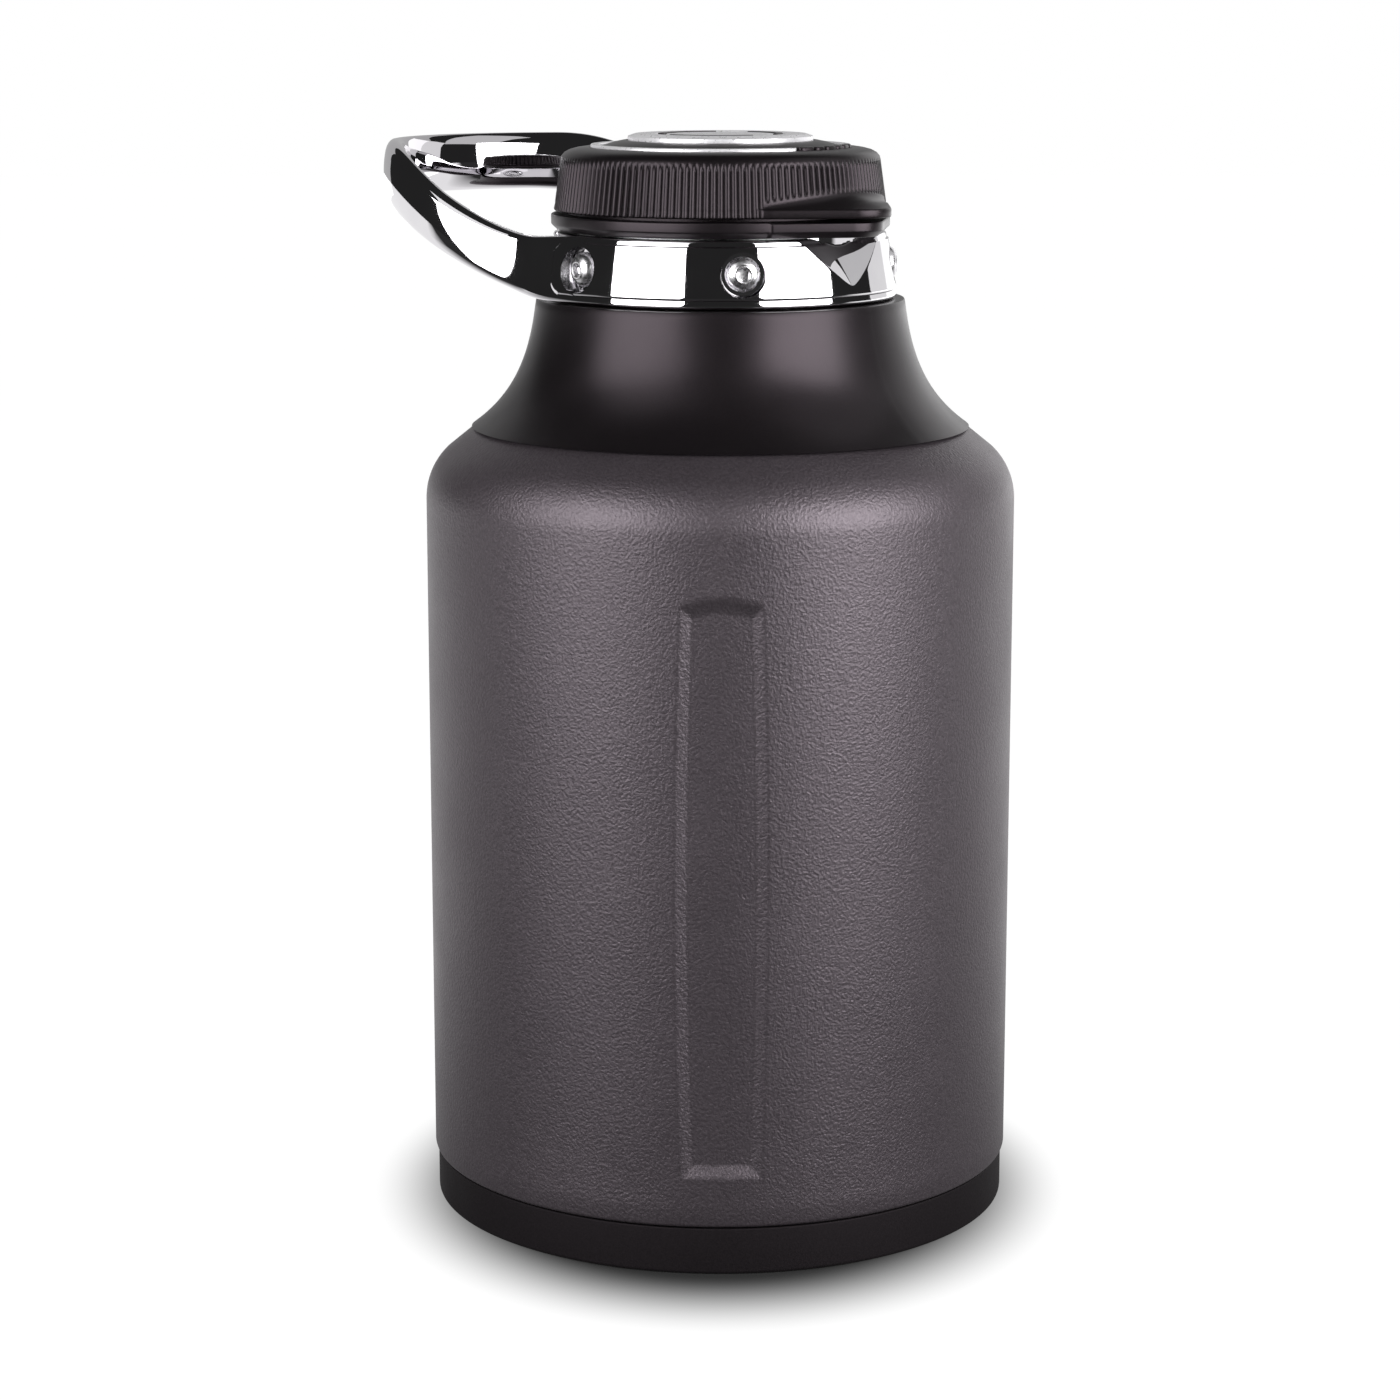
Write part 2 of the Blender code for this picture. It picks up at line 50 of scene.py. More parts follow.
BODY_R, STEEL = 82.0, 0.8
SEAM_R, SEAM_Z = 69.8, 219.2
SHOULDER_START, SHOULDER_ARC, SHOULDER_TURN = 199.9, 18.4, math.radians(47)
PANEL_SIDES = (-47, 133)
PANEL_LOW, PANEL_HIGH, PANEL_DEPTH, PANEL_BEVEL = 27.2, 184.2, 1.3, 3.3
PANEL_HALF_WIDTH, PANEL_BOW = 7.6, 1.6
SHROUD_TOP_R, SHROUD_FLARE = 49.4, 14.1
COLLAR_BORE_R, BAND_R = 42.4, 47.1
LOOP_TIP, LOOP_HALF_WIDTH = 112.0, 51.5
LOOP_ROOT_THICKNESS, LOOP_TIP_THICKNESS = 4.8, 6.8
LOOP_FLARE, LOOP_WIDEST = 28.0, 62.0
LOOP_TOP_EDGE = (272.5, 296.9, 27.0, 99.0)
LOOP_LOW_EDGE = (255.8, 280.4, 17.0, 106.0)
COLLAR_LOW, COLLAR_TOP = 255.6, 273.5
FACE_END, FACE_LOW, FACE_HIGH, FACE_CORNER, FACE_RISE = math.radians(111.5), 257.8, 272.0, 4.0, 0.45
NOTCH_LOW, NOTCH_HALF, NOTCH_TIP, NOTCH_DEPTH = 260.6, 13.6, 3.6, 4.2
SCREW_Z, SCREW_SEAT_R = 264.7, 45.6
SCREW_ANGLES = (-160, -100, -40, 40, 100, 160)
BASE_LOW, BASE_HIGH, BASE_R = 273.9, 278.2, 46.7
GRIP_LOW, GRIP_R = 279.1, 45.9
TAB_TIP_R, GRIP_TAB_REACH, BASE_TAB_REACH = 10.2, 58.3, 55.5
RIBS = 148


# ------------------------------------------------------------------ mesh helpers


def smoothstep(t):
    t = np.clip(t, 0.0, 1.0)
    return t * t * (3 - 2 * t)


def mesh_piece(name, points, faces, body, sharp=35):
    """A mesh object in metres from points in mm, riding on a CAD body."""
    mesh = bpy.data.meshes.new(name)
    mesh.from_pydata([tuple(p) for p in np.asarray(points) * MM], [], faces)
    shape = bmesh.new()
    shape.from_mesh(mesh)
    bmesh.ops.remove_doubles(shape, verts=shape.verts, dist=1e-7)
    bmesh.ops.delete(shape, geom=[e for e in shape.edges if not e.link_faces], context="EDGES")
    bmesh.ops.recalc_face_normals(shape, faces=shape.faces)
    shape.to_mesh(mesh)
    shape.free()
    mesh.shade_smooth()
    mesh.set_sharp_from_angle(angle=math.radians(sharp))
    piece = bpy.data.objects.new(name, mesh)
    bpy.context.scene.collection.objects.link(piece)
    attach(piece, body)
    return piece


def tube_faces(stations, across, closed=True):
    """Quads between neighbouring stations, each a closed ring of points."""
    faces = []
    for i in range(stations if closed else stations - 1):
        low, high = i * across, (i + 1) % stations * across
        for j in range(across):
            k = (j + 1) % across
            faces.append((low + j, low + k, high + k, high + j))
    if not closed:
        faces.append(tuple(range(across - 1, -1, -1)))
        faces.append(tuple(range((stations - 1) * across, stations * across)))
    return faces


def even(start, end, step):
    count = max(int(math.ceil((end - start) / step)), 1)
    return [start + (end - start) * i / count for i in range(count)]


def angles_with(fine_zones, coarse):
    """Degrees round the axis: fine steps inside the zones (from, to, step), coarse between."""
    marks, at = [], -180.0
    for start, end, step in sorted(fine_zones):
        if start > at:
            marks += even(at, start, coarse)
        marks += even(max(start, at), end, step)
        at = end
    if at < 180:
        marks += even(at, 180, coarse)
    return np.array(marks)


def fillet(outline, radii, steps=5):
    """Rounds the corners of a closed outline, each by its own radius."""
    rounded = []
    for i, (point, radius) in enumerate(zip(outline, radii)):
        here = Vector(point)
        if radius <= 0:
            rounded.append(tuple(here))
            continue
        before, after = Vector(outline[i - 1]), Vector(outline[(i + 1) % len(outline)])
        back, ahead = before - here, after - here
        turn = back.angle(ahead)
        longest = 0.48 * min(back.length, ahead.length)
        reach = min(radius / math.tan(turn / 2), longest)
        start, end = here + back.normalized() * reach, here + ahead.normalized() * reach
        for k in range(steps + 1):
            t = k / steps
            rounded.append(tuple(start * (1 - t) ** 2 + here * 2 * t * (1 - t) + end * t * t))
    return rounded


def refine(outline, step):
    """Splits the long sides of a closed outline."""
    fine = []
    for a, b in zip(outline, outline[1:] + outline[:1]):
        parts = max(int(math.dist(a, b) / step), 1)
        for k in range(parts):
            t = k / parts
            fine.append((a[0] + (b[0] - a[0]) * t, a[1] + (b[1] - a[1]) * t))
    return fine


def revolve(name, outline, body, angles=None, shift=None, sharp=35):
    """Turns a closed outline about Z. shift(r, z, degrees) returns moved (r, z)."""
    angles = np.arange(-180, 180, 2.5) if angles is None else angles
    profile = np.array(outline, float)
    points = []
    for degrees in angles:
        r, z = profile[:, 0].copy(), profile[:, 1].copy()
        if shift:
            r, z = shift(r, z, degrees)
        a = math.radians(degrees)
        points.append(np.stack([r * math.cos(a), r * math.sin(a), z], -1))
    points = np.concatenate(points)
    return mesh_piece(name, points, tube_faces(len(angles), len(profile)), body, sharp)


def around(degrees, centre):
    return (degrees - centre + 180) % 360 - 180


# ------------------------------------------------------------------ materials


WEAR_SCALE = 35  # blotches per metre, in the roughness of the painted and moulded finishes


def material(name, colour, roughness, metallic=0.0):
    made = bpy.data.materials.new(name)
    made.use_nodes = True
    shader = made.node_tree.nodes["Principled BSDF"]
    shader.inputs["Base Color"].default_value = (*colour, 1)
    shader.inputs["Roughness"].default_value = roughness
    shader.inputs["Metallic"].default_value = metallic
    return made, made.node_tree.nodes, made.node_tree.links, shader


def noise(nodes, links, scale, detail=2.0, stretch=None):
    """Noise in the object's own coordinates; scale is per metre."""
    where = nodes.new("ShaderNodeTexCoord")
    made = nodes.new("ShaderNodeTexNoise")
    made.inputs["Scale"].default_value = scale
    made.inputs["Detail"].default_value = detail
    source = where.outputs["Object"]
    if stretch:
        mapping = nodes.new("ShaderNodeMapping")
        mapping.inputs["Scale"].default_value = stretch
        links.new(source, mapping.inputs["Vector"])
        source = mapping.outputs["Vector"]
    links.new(source, made.inputs["Vector"])
    return made.outputs["Fac"]


def spread(nodes, links, fac, low, high, start=0.3, end=0.7):
    """Maps a factor to numbers or colours between low and high."""
    if isinstance(low, tuple):
        ramp = nodes.new("ShaderNodeValToRGB")
        ramp.color_ramp.elements[0].position = start
        ramp.color_ramp.elements[1].position = end
        ramp.color_ramp.elements[0].color = (*low, 1)
        ramp.color_ramp.elements[1].color = (*high, 1)
        links.new(fac, ramp.inputs["Fac"])
        return ramp.outputs["Color"]
    made = nodes.new("ShaderNodeMapRange")
    made.inputs["From Min"].default_value = start
    made.inputs["From Max"].default_value = end
    made.inputs["To Min"].default_value = low
    made.inputs["To Max"].default_value = high
    links.new(fac, made.inputs["Value"])
    return made.outputs["Result"]


def bump(nodes, links, shader, height, strength, distance):
    made = nodes.new("ShaderNodeBump")
    made.inputs["Strength"].default_value = strength
    made.inputs["Distance"].default_value = distance
    links.new(height, made.inputs["Height"])
    links.new(made.outputs["Normal"], shader.inputs["Normal"])


def surface(name, dark, light, rough, grain, peel, deep, metallic=0.0):
    """A finish whose colour and roughness wander a little, over a fine grain."""
    made, nodes, links, shader = material(name, dark, rough[0], metallic)
    fine = noise(nodes, links, grain, 3.0)
    broad = noise(nodes, links, WEAR_SCALE, 4.0)
    links.new(spread(nodes, links, fine, dark, light), shader.inputs["Base Color"])
    links.new(spread(nodes, links, broad, *rough), shader.inputs["Roughness"])
    bump(nodes, links, shader, fine, peel, deep)
    return made, shader


def powder_coat():
    made, shader = surface(
        "powder_coat", (0.070, 0.058, 0.067), (0.100, 0.085, 0.096), (0.38, 0.45),
        metallic=0.7, grain=1300, peel=0.8, deep=0.00026,
    )
    shader.inputs["Specular IOR Level"].default_value = 0.6
    return made


def satin_black():
    made, shader = surface(
        "satin_black", (0.0035, 0.0028, 0.0032), (0.0055, 0.0046, 0.0051), (0.30, 0.38),
        grain=2200, peel=0.25, deep=0.00006,
    )
    shader.inputs["Specular IOR Level"].default_value = 0.32
    shader.inputs["Specular Tint"].default_value = (1.0, 0.84, 0.94, 1.0)
    return made


def boot_rubber():
    made, shader = surface(
        "boot_rubber", (0.0035, 0.0029, 0.0033), (0.0065, 0.0054, 0.006), (0.55, 0.68),
        grain=1800, peel=0.35, deep=0.0001,
    )
    shader.inputs["Specular IOR Level"].default_value = 0.16
    shader.inputs["Specular Tint"].default_value = (1.0, 0.86, 0.95, 1.0)
    return made


def chrome():
    made, nodes, links, shader = material("chrome", (0.74, 0.72, 0.75), 0.03, 1.0)
    broad = noise(nodes, links, 60, 5.0)
    fine = noise(nodes, links, 420, 4.0)
    links.new(spread(nodes, links, broad, 0.015, 0.045), shader.inputs["Roughness"])
    tone = spread(nodes, links, broad, (0.71, 0.69, 0.72), (0.77, 0.76, 0.78))
    links.new(tone, shader.inputs["Base Color"])
    bump(nodes, links, shader, fine, 0.04, 0.0001)
    return made


def bolt_steel():
    made, nodes, links, shader = material("bolt_steel", (0.72, 0.71, 0.73), 0.27, 1.0)
    fine = noise(nodes, links, 700, 4.0)
    links.new(spread(nodes, links, fine, 0.2, 0.34), shader.inputs["Roughness"])
    tone = spread(nodes, links, fine, (0.68, 0.67, 0.69), (0.76, 0.75, 0.77))
    links.new(tone, shader.inputs["Base Color"])
    bump(nodes, links, shader, fine, 0.1, 0.0001)
    return made


def silver_trim():
    made, nodes, links, shader = material("silver_trim", (0.8, 0.79, 0.81), 0.3, 0.45)
    fine = noise(nodes, links, 900, 3.0)
    links.new(spread(nodes, links, fine, 0.26, 0.36), shader.inputs["Roughness"])
    tone = spread(nodes, links, fine, (0.76, 0.75, 0.77), (0.84, 0.83, 0.85))
    links.new(tone, shader.inputs["Base Color"])
    bump(nodes, links, shader, fine, 0.05, 0.00005)
    return made


def brushed_steel():
    made, nodes, links, shader = material("brushed_steel", (0.56, 0.56, 0.57), 0.28, 1.0)
    lines = noise(nodes, links, 60, 6.0, stretch=(1, 1, 60))
    broad = noise(nodes, links, 30, 3.0)
    links.new(spread(nodes, links, lines, 0.2, 0.36), shader.inputs["Roughness"])
    tone = spread(nodes, links, broad, (0.52, 0.52, 0.53), (0.6, 0.6, 0.61))
    links.new(tone, shader.inputs["Base Color"])
    bump(nodes, links, shader, lines, 0.08, 0.0001)
    return made


def soft_seal():
    made, shader = surface(
        "seal_silicone", (0.42, 0.43, 0.43), (0.5, 0.51, 0.51), (0.42, 0.55),
        grain=700, peel=0.2, deep=0.00008,
    )
    shader.inputs["Subsurface Weight"].default_value = 0.15
    shader.inputs["Subsurface Radius"].default_value = (0.002, 0.002, 0.002)
    return made


def foam():
    return surface(
        "insulating_foam", (0.62, 0.6, 0.52), (0.74, 0.72, 0.66), (0.85, 0.97),
        grain=1100, peel=0.8, deep=0.0004,
    )[0]


POWDER, BLACK, BOOT, CHROME = powder_coat(), satin_black(), boot_rubber(), chrome()
SILVER, STEEL_FINISH, SEAL, FOAM = silver_trim(), brushed_steel(), soft_seal(), foam()
BOLT = bolt_steel()
FINISH = {
    "powder_coat": POWDER,
    "steel": STEEL_FINISH,
    "boot_rubber": BOOT,
    "seal_rubber": SEAL,
    "black_plastic": BLACK,
    "foam": FOAM,
    "chrome": CHROME,
    "silver_trim": SILVER,
}


def dress(piece, slot, *nodes):
    """Gives a piece its finish and hides the CAD nodes it stands for."""
    piece.data.materials.clear()
    piece.data.materials.append(FINISH[slot])
    if nodes:
        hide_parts(*nodes)


# ------------------------------------------------------------------ body


def inset(profile, distance):
    """The profile moved inwards by a distance, with mitred corners."""
    normals = []
    for (r0, z0), (r1, z1) in zip(profile, profile[1:]):
        length = math.hypot(r1 - r0, z1 - z0)
        normals.append(Vector(((z1 - z0) / length, (r0 - r1) / length)))
    moved = []
    for i, (radius, height) in enumerate(profile):
        before, after = normals[max(i - 1, 0)], normals[min(i, len(normals) - 1)]
        middle = (before + after).normalized()
        move = middle * (distance / middle.dot(before))
        moved.append((radius + move.x, height + move.y))
    return moved


def panel_depth(r, z, degrees):
    """How far the pressed grip panels push the steel in."""
    depth = np.zeros_like(r)
    low, high = PANEL_LOW, PANEL_HIGH
    middle, half = (low + high) / 2, (high - low) / 2
    for side in PANEL_SIDES:
        across = abs(math.radians(around(degrees, side))) * BODY_R
        if across > 20:
            continue
        bow = 1 - ((z - middle) / half) ** 2
        from_side = PANEL_HALF_WIDTH + PANEL_BEVEL + PANEL_BOW * bow - across
        from_low = z - low
        from_high = high + 0.9 - 0.022 * across**2 - z
        ramp_side = np.clip(from_side / PANEL_BEVEL, 0, 1)
        ramp_low = np.clip(from_low / PANEL_BEVEL, 0, 1)
        ramp_high = smoothstep(from_high / (PANEL_BEVEL + 2.4))
        push = PANEL_DEPTH * np.minimum(np.minimum(ramp_side, ramp_low), ramp_high)
        depth = np.where(r > 76, np.maximum(depth, push), depth)
    return r - depth, z


def make_body():
    shoulder = []
    for i in range(14, -1, -1):
        turn = SHOULDER_TURN * i / 14
        drop = SHOULDER_ARC * (1 - math.cos(turn))
        shoulder.append((BODY_R - drop, SHOULDER_START + SHOULDER_ARC * math.sin(turn)))
    neck = [(40.7, 263.7), (40.7, 254.5), (42.4, 247.5), (46.7, 239.5), (51.5, 233.0)]
    neck += [(57.5, 226.6), (63.0, 222.2), (66.3, 220.2), (SEAM_R - 0.4, SEAM_Z - 0.4)]
    heights = even(PANEL_LOW - 1.5, PANEL_LOW + 5, 0.45)
    heights += even(PANEL_LOW + 5, PANEL_HIGH - 9, 3.0)
    heights += even(PANEL_HIGH - 9, PANEL_HIGH + 2.5, 0.5) + [190.0, 196.0]
    side = [(BODY_R, z) for z in heights[::-1]]
    foot = [(BODY_R, 20), (BODY_R, 14.4), (BODY_R - 0.15, 13.9), (BODY_R - 0.5, 13.5)]
    foot += [(BODY_R - 1.1, 13.3), (78.4, 13.2), (78.4, 2.9)]
    outer = neck + shoulder + side + foot
    outline = outer + inset(outer, STEEL)[::-1]
    zones = [(side_at - 9.6, side_at + 9.6, 0.32) for side_at in PANEL_SIDES]
    body = revolve("bottle_skin", outline, "bottle", angles_with(zones, 2.0), panel_depth, sharp=40)
    dress(body, "powder_coat", "outer_shell")

    boot_r, top = 81.1, 12.9
    boot = [(0.0, 2.0), (78.7, 2.0), (78.7, top), (boot_r, top), (boot_r, 0.0), (0.0, 0.0)]
    outline = refine(fillet(boot, [0, 0.3, 0.2, 0.5, 1.1, 0]), 4.0)
    made = revolve("foot_boot", outline, "bottle")
    dress(made, "boot_rubber", "base_boot")


def flare(height):
    """Radius of the shroud, which spreads out towards the seam."""
    spread_out = SEAM_R + 0.2 - SHROUD_TOP_R
    return SHROUD_TOP_R + spread_out * math.exp(-(height - SEAM_Z) / SHROUD_FLARE)


def make_shroud():
    low = SEAM_Z + 0.6
    heights = even(low, 254.2, 1.1)[::-1]
    outer = [(50.3, 255.08), (50.8, 254.95), (51.0, 254.6)] + [(flare(z), z) for z in heights]
    inner = [(flare(low) - 0.5, low - 0.05)]
    inner += [(flare(z) - min(2.2, 0.45 + 0.2 * (z - SEAM_Z)), z) for z in heights[:4:-1]]
    inner += [(42.0, 253.1), (42.0, 255.1)]
    angles = np.arange(-180, 180, 1.5)
    made = revolve("shroud_skin", outer + inner, "bottle", angles, mould_seams)
    dress(made, "black_plastic", "neck_shroud")


def mould_seams(r, z, degrees):
    """Two faint parting lines of the mould, a quarter turn from the panels."""
    near = min(abs(around(degrees, 3)), abs(around(degrees, -177)))
    return r + np.where((r > 50.9) & (near < 0.1), 0.06, 0.0), z


def make_mouth():
    """The steel mouth with its rolled lip and the thread that takes the cap."""
    low, high, radius = 264.0, 287.7, 40.0
    outer = [(radius, z) for z in even(273.0, high - 0.5, 0.35)[::-1]]
    outline = [(36.9, low), (36.9, high), (radius - 0.5, high), (radius - 0.1, high - 0.2)]
    outline += outer + [(40.7, 272.0), (40.7, low)]
    pitch = 5.0

    def thread(r, z, degrees):
        phase = ((z - pitch * degrees / 360) / pitch) % 1.0
        ridge = smoothstep((0.28 - abs(phase - 0.5)) / 0.12)
        inside = smoothstep((z - 273.6) / 1.2) * smoothstep((286.4 - z) / 1.2)
        cut = 0.85 * (1 - ridge) * inside
        return np.where(r > 39.6, r - cut * (z < 287.2) * (r < 40.3), r), z

    made = revolve("threaded_mouth", outline, "bottle", np.arange(-180, 180, 2.0), thread)
    dress(made, "steel", "neck_ring")


# ------------------------------------------------------------------ collar and loop


def climb(edge, reach):
    low, high, start, end = edge
    return low + (high - low) * float(smoothstep((reach - start) / (end - start)))


def loop_path():
    """Stations of the outer wall, from the tip along one strap and round the front.

    Each is (x, y, normal x, normal y).
    """
    half = []
    long_half = LOOP_TIP - LOOP_WIDEST
    for i in range(48):
        angle = math.pi * (1 - i / 96)
        nx, ny = math.cos(angle) / long_half, math.sin(angle) / LOOP_HALF_WIDTH
        size = math.hypot(nx, ny)
        x = long_half * math.cos(angle) - LOOP_WIDEST
        half.append((x, LOOP_HALF_WIDTH * math.sin(angle), nx / size, ny / size))
    reaches = even(0, 34, 0.4) + even(34, LOOP_WIDEST, 1.2)
    for reach in reaches[:0:-1]:
        widening = float(smoothstep((reach - LOOP_FLARE) / (LOOP_WIDEST - LOOP_FLARE)))
        half.append((-reach, BAND_R + (LOOP_HALF_WIDTH - BAND_R) * widening, 0.0, 1.0))
    for degrees in np.arange(90, 0, -0.45):
        a = math.radians(degrees)
        half.append((BAND_R * math.cos(a), BAND_R * math.sin(a), math.cos(a), math.sin(a)))
    mirror = [(x, -y, nx, -ny) for x, y, nx, ny in half[:0:-1]]
    return half + [(BAND_R, 0.0, 1.0, 0.0)] + mirror


def ovalness(x):
    """0 where the strap leaves the collar, 1 where its section is fully oval."""
    return float(smoothstep((-x - 20) / 50))


def casting_section(x):
    """The wall's section at a distance behind the axis: (out, z) points, outer side first."""
    away, oval = float(smoothstep((-x - 6) / 30)), ovalness(x)
    top, low = climb(LOOP_TOP_EDGE, -x), climb(LOOP_LOW_EDGE, -x)
    top = COLLAR_TOP + (top - COLLAR_TOP) * away
    low = COLLAR_LOW + (low - COLLAR_LOW) * away
    thick = LOOP_ROOT_THICKNESS + (LOOP_TIP_THICKNESS - LOOP_ROOT_THICKNESS) * oval
    inner = -(BAND_R - COLLAR_BORE_R) * (1 - away) - thick * away
    lean = 0.17 * (1 - float(smoothstep((-x - 28) / 60)))
    lean_top, lean_low = lean * (top - low) / 2, -lean * (top - low) / 2
    corners = [
        (-lean_low, low),
        (-lean_top, top),
        (inner - lean_top * away, top),
        (inner - lean_low * away, low),
    ]
    round_top, round_low = 1.0 + 0.8 * away + 1.2 * oval, 0.9 + 0.8 * away + 1.3 * oval
    inner_top, inner_low = 0.5 + (round_top - 0.5) * away, 0.5 + (round_low - 0.5) * away
    return corners, (round_low, round_top, inner_top, inner_low)


def swell(section, x):
    """Makes the section away from the collar oval: full at mid height, thinner at both edges."""
    out, z = section[:, 0], section[:, 1]
    height = np.clip((z - z.mean()) / (np.ptp(z) / 2), -1, 1)
    centre = (out.max() + out.min()) / 2
    section[:, 0] = centre + (out - centre) * (1 - 0.42 * ovalness(x) * height**2)


def section_points(corners, radii, rows):
    """A section with rounded corners and rows up both sides. The outer side comes first."""
    rounded = fillet(corners, list(radii), steps=5)

    def side(low, high, steps):
        return [
            tuple(low[k] + (high[k] - low[k]) * i / steps for k in (0, 1)) for i in range(1, steps)
        ]

    points = rounded[:6] + side(rounded[5], rounded[6], rows) + rounded[6:18]
    return np.array(points + side(rounded[17], rounded[18], 16) + rounded[18:])


def raised_face(arc, z):
    """Height of the collar's raised face at an arc distance from the front."""
    middle, half = (FACE_LOW + FACE_HIGH) / 2, (FACE_HIGH - FACE_LOW) / 2
    dx = np.maximum(np.abs(arc) - (FACE_END * BAND_R - FACE_CORNER), 0)
    dz = np.maximum(np.abs(z - middle) - (half - FACE_CORNER), 0)
    inside = FACE_CORNER - np.hypot(dx, dz)
    return FACE_RISE * smoothstep(inside / FACE_RISE)


def scoop_depth(arc, z):
    """The finger notch under the tabs: a funnel that opens towards the top."""
    rise = np.clip((z - NOTCH_LOW) / (COLLAR_TOP - NOTCH_LOW), 0.0, 1.0)
    half = NOTCH_TIP * np.sqrt(rise) + NOTCH_HALF * rise + 1e-6
    inside = np.clip(1 - (np.abs(arc) / half) ** 2, 0.0, 1.0)
    return NOTCH_DEPTH * rise * inside


def collar_surface(out, z, station):
    """Raised face and finger notch, as moves of the outer side."""
    arc = math.atan2(station[1], station[0]) * BAND_R
    out = out + raised_face(arc, z) - scoop_depth(arc, z)
    return np.maximum(out, COLLAR_BORE_R - BAND_R + 0.6)


def spun(outline, degrees, turns):
    """Points of an outline (radius, distance from Z) turned about a screw's own line."""
    a = math.radians(degrees)
    out = np.array((math.cos(a), math.sin(a), 0.0))
    across, up = np.array((-math.sin(a), math.cos(a), 0.0)), np.array((0.0, 0.0, 1.0))
    points = []
    for i in range(turns):
        t = 2 * math.pi * i / turns
        around_line = across * math.cos(t) + up * math.sin(t)
        points += [tuple(out * along + up * SCREW_Z + around_line * r) for r, along in outline]
    return points


def cut_seat(wall, degrees):
    """A spot-faced seat with a small chamfer where it breaks the surface."""
    turns, clear = 64, 56
    outline = [(0, SCREW_SEAT_R), (5.7, SCREW_SEAT_R), (5.85, 46.8), (6.2, 47.4)]
    outline += [(6.3, clear), (0, clear)]
    faces = tube_faces(turns, len(outline))
    cutter = mesh_piece(f"seat_{degrees}", spun(outline, degrees, turns), faces, "bottle")
    combine(wall, cutter, "DIFFERENCE")


def combine(piece, other, operation):
    """Applies a Boolean and removes the other mesh."""
    modifier = piece.modifiers.new("combine", "BOOLEAN")
    modifier.operation = operation
    modifier.object = other
    graph = bpy.context.evaluated_depsgraph_get()
    piece.data = bpy.data.meshes.new_from_object(piece.evaluated_get(graph))
    piece.modifiers.clear()
    bpy.data.objects.remove(other)


WALL_ROWS = 44
OUTER_SIDE = slice(0, WALL_ROWS + 11)
COLLAR_REACH = 32  # how far behind the axis the collar's own surface goes
REAR_START, REAR_BLEND = 96, 24  # degrees


def sweep(stations, sections):
    points = []
    for (x, y, nx, ny), section in zip(stations, sections):
        out, z = section[:, 0], section[:, 1]
        points.append(np.stack([x + nx * out, y + ny * out, z], -1))
    return np.concatenate(points)


def make_casting():
    stations, sections = loop_path(), []
    for station in stations:
        section = section_points(*casting_section(station[0]), WALL_ROWS)
        swell(section, station[0])
        if station[0] > -COLLAR_REACH:
            out, z = section[OUTER_SIDE, 0], section[OUTER_SIDE, 1]
            keep = float(smoothstep((station[0] + COLLAR_REACH) / 4))
            section[OUTER_SIDE, 0] = out * (1 - keep) + collar_surface(out, z, station) * keep
        sections.append(section)
    faces = tube_faces(len(stations), len(sections[0]))
    wall = mesh_piece("carrying_collar", sweep(stations, sections), faces, "bottle", sharp=50)

    # The back of the collar runs inside the loop, with its ends sunk in the outer wall.
    bore = COLLAR_BORE_R + 0.02 - BAND_R
    top = COLLAR_TOP - 0.1
    corners = [(0.7, COLLAR_LOW), (-1.1, top), (bore, top), (bore, COLLAR_LOW)]
    stations, sections = [], []
    for bearing in np.arange(REAR_START, 360 - REAR_START + 0.1, 0.6):
        a = math.radians(bearing)
        station = (BAND_R * math.cos(a), BAND_R * math.sin(a), math.cos(a), math.sin(a))
        section = section_points(corners, (0.9, 1.0, 0.4, 0.4), WALL_ROWS)
        out, z = section[OUTER_SIDE, 0], section[OUTER_SIDE, 1]
        ends = min(bearing - REAR_START, 360 - REAR_START - bearing)
        if ends > REAR_BLEND:
            out = collar_surface(out, z, station)
        section[OUTER_SIDE, 0] = out - 1.4 * (1 - float(smoothstep(ends / REAR_BLEND)))
        stations.append(station)
        sections.append(section)
    faces = tube_faces(len(stations), len(sections[0]), closed=False)
    rear = mesh_piece("collar_back", sweep(stations, sections), faces, "bottle", sharp=50)
    combine(wall, rear, "UNION")
    for degrees in SCREW_ANGLES:
        cut_seat(wall, degrees)
    wall.data.set_sharp_from_angle(angle=math.radians(38))
    dress(wall, "chrome", "collar_handle")


def make_screws():
    """Button heads with a raised ring and a hexagon socket."""
    head = [(0.0, 1.2), (1.55, 1.2), (1.75, 2.72), (2.1, 2.84), (2.45, 2.75), (2.75, 2.5)]
    head += [(3.3, 2.35), (3.9, 1.9), (4.4, 1.1), (4.65, 0.45), (4.65, 0.0)]
    head += [(2.5, 0.0), (2.5, -4.2), (0.0, -4.2)]
    radii = [0, 0.1, 0.15, 0, 0.2, 0.3, 0, 0, 0, 0.2, 0.1, 0.2, 0.2, 0]
    outline = fillet(head, radii, steps=3)
    turns = 72
    for number, degrees in enumerate(SCREW_ANGLES, 1):
        points = []
        for i in range(turns):
            turn = (i * 360 / turns + 11 * number) % 60 - 30
            hexagon = 1.1 * math.cos(math.radians(30)) / math.cos(math.radians(turn))
            ring = [
                (r * (hexagon if 0.5 < r < 1.7 and height > 0 else 1), SCREW_SEAT_R + 0.3 + height)
                for r, height in outline
            ]
            points += spun(ring, degrees, turns)[i * len(ring) : (i + 1) * len(ring)]
        faces = tube_faces(turns, len(outline))
        screw = mesh_piece(f"collar_bolt_{number}", points, faces, "bottle")
        dress(screw, "chrome", f"collar_screw_{number}")
        screw.data.materials[0] = BOLT


# ------------------------------------------------------------------ cap


